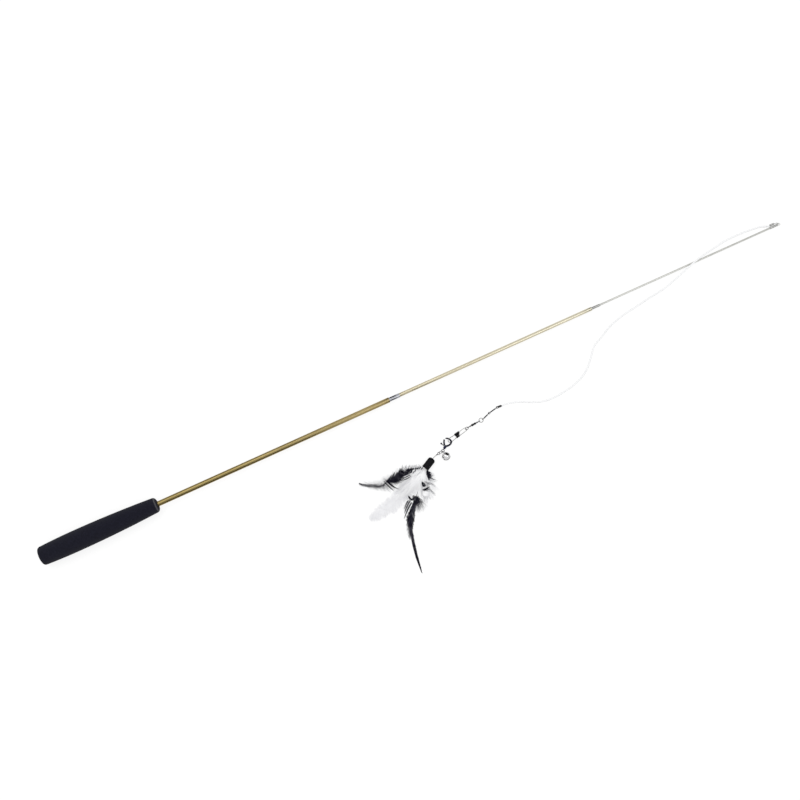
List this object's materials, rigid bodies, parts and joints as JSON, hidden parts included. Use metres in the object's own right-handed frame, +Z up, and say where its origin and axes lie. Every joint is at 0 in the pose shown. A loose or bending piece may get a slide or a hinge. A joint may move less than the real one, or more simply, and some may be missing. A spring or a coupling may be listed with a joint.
{
  "type": "telescopic cat teaser wand",
  "caption": "Telescopic wand with a foam grip, sliding tubes and a thin tip rod, with a cord to a swivel, clasp, bell and feather lure.",
  "frame": {"origin": "under the middle of the extended wand, on the surface that it lies on", "axes": "+X along the wand from the grip to the tip, +Y to its left, +Z up from the surface"},
  "size_m": [0.975, 0.2135, 0.0253],
  "materials": {
    "foam": "matte closed-cell foam with a fine open grain",
    "plastic": "black moulded plastic",
    "gloss_black": "black moulded plastic with a soft gloss",
    "gold": "olive gold anodised, satin",
    "pale_gold": "pale gold anodised, satin",
    "steel": "bright nickel-plated steel",
    "rod": "drawn steel rod",
    "dark_metal": "black nickel plating",
    "bell_metal": "polished plated shell",
    "bush": "natural nylon",
    "cord": "soft white cord",
    "feather_dark": "dark barbs",
    "feather_white": "white barbs and down"
  },
  "bodies": {
    "grip": {"foam_grip": "foam", "grip_core": "plastic", "butt_plug": "plastic", "tube_1": "gold", "tube_1_end_plug": "plastic", "tube_1_collar": "steel"},
    "tube_2": {"tube_2": "pale_gold", "tube_2_bush": "bush", "tube_2_collar": "steel"},
    "rod_3": {"rod_3": "rod", "rod_3_bush": "bush", "tip_cap": "rod", "tip_eye": "steel", "tip_crimp": "rod", "cord": "cord", "lure_crimp": "dark_metal"},
    "leader_link_1": {"leader_link_1": "steel"},
    "leader_link_2": {"leader_link_2": "steel"},
    "swivel": {"ring_1": "steel", "swivel_eye_a": "steel"},
    "swivel_barrel": {"swivel_barrel": "dark_metal"},
    "swivel_b": {"swivel_eye_b": "steel", "ring_2": "steel"},
    "snap": {"snap_wire": "steel", "snap_plate": "dark_metal"},
    "clasp": {"clasp_body": "dark_metal", "clasp_pin": "steel", "clasp_spring": "steel"},
    "clasp_lever": {"clasp_lever": "dark_metal"},
    "bell": {"bell_upper": "bell_metal", "bell_lower": "bell_metal"},
    "bell_ball": {"bell_ball": "steel"},
    "lure": {"ring_3": "steel", "lure_wire": "dark_metal", "lure_cap": "gloss_black", "feather_hackle": "feather_dark", "feather_plume": "feather_white", "feather_long": "feather_dark", "down_tuft": "feather_white"}
  },
  "joints": [
    {"name": "tube_2_slide", "type": "slide", "parent": "grip", "child": "tube_2", "axis": [0.9999, 0, -0.012], "range_m": [-0.2552, 0]},
    {"name": "rod_3_slide", "type": "slide", "parent": "tube_2", "child": "rod_3", "axis": [0.9999, 0, -0.012], "range_m": [-0.2324, 0]},
    {"name": "leader_swing", "type": "hinge", "parent": "rod_3", "child": "leader_link_1", "pos_m": [0.07401, -0.06149, 0.00147], "axis": [0, 0, -1], "range_deg": [-30, 30]},
    {"name": "link_swing", "type": "hinge", "parent": "leader_link_1", "child": "leader_link_2", "pos_m": [0.06239, -0.06378, 0.00147], "axis": [0, 0, 1], "range_deg": [-40, 40]},
    {"name": "swivel_swing", "type": "hinge", "parent": "leader_link_2", "child": "swivel", "pos_m": [0.05181, -0.06733, 0.00147], "axis": [0, 0, -1], "range_deg": [-20, 20]},
    {"name": "barrel_spin", "type": "hinge", "parent": "swivel", "child": "swivel_barrel", "pos_m": [0.04305, -0.06802, 0.0018], "axis": [-0.9969, -0.0785, 0], "continuous": true},
    {"name": "swivel_twist", "type": "hinge", "parent": "swivel", "child": "swivel_b", "pos_m": [0.03273, -0.06884, 0.0018], "axis": [-0.9969, -0.0785, 0], "range_deg": [-150, 150]},
    {"name": "snap_swing", "type": "hinge", "parent": "swivel_b", "child": "snap", "pos_m": [0.02737, -0.06988, 0.00211], "axis": [0.0866, -0.4456, 0.891], "range_deg": [-25, 25]},
    {"name": "clasp_swing", "type": "hinge", "parent": "snap", "child": "clasp", "pos_m": [0.00607, -0.07261, 0.00211], "axis": [0, 0, -1], "range_deg": [-10, 10]},
    {"name": "lever_open", "type": "hinge", "parent": "clasp", "child": "clasp_lever", "pos_m": [-0.00255, -0.07746, 0.00211], "axis": [0, 0, -1], "range_deg": [0, 16], "stiffness_Nm_per_rad": 0.002, "springref_deg": -17.19},
    {"name": "bell_swing", "type": "hinge", "parent": "clasp", "child": "bell", "pos_m": [-0.00692, -0.08195, 0.00211], "axis": [0, 0, 1], "range_deg": [-10, 20]},
    {"name": "ball_rattle", "type": "slide", "parent": "bell", "child": "bell_ball", "axis": [0, 0, 1], "range_m": [0, 0.005]},
    {"name": "lure_swing", "type": "hinge", "parent": "clasp", "child": "lure", "pos_m": [-0.00692, -0.08195, 0.00211], "axis": [0, 0, 1], "range_deg": [-20, 10]}
  ]
}
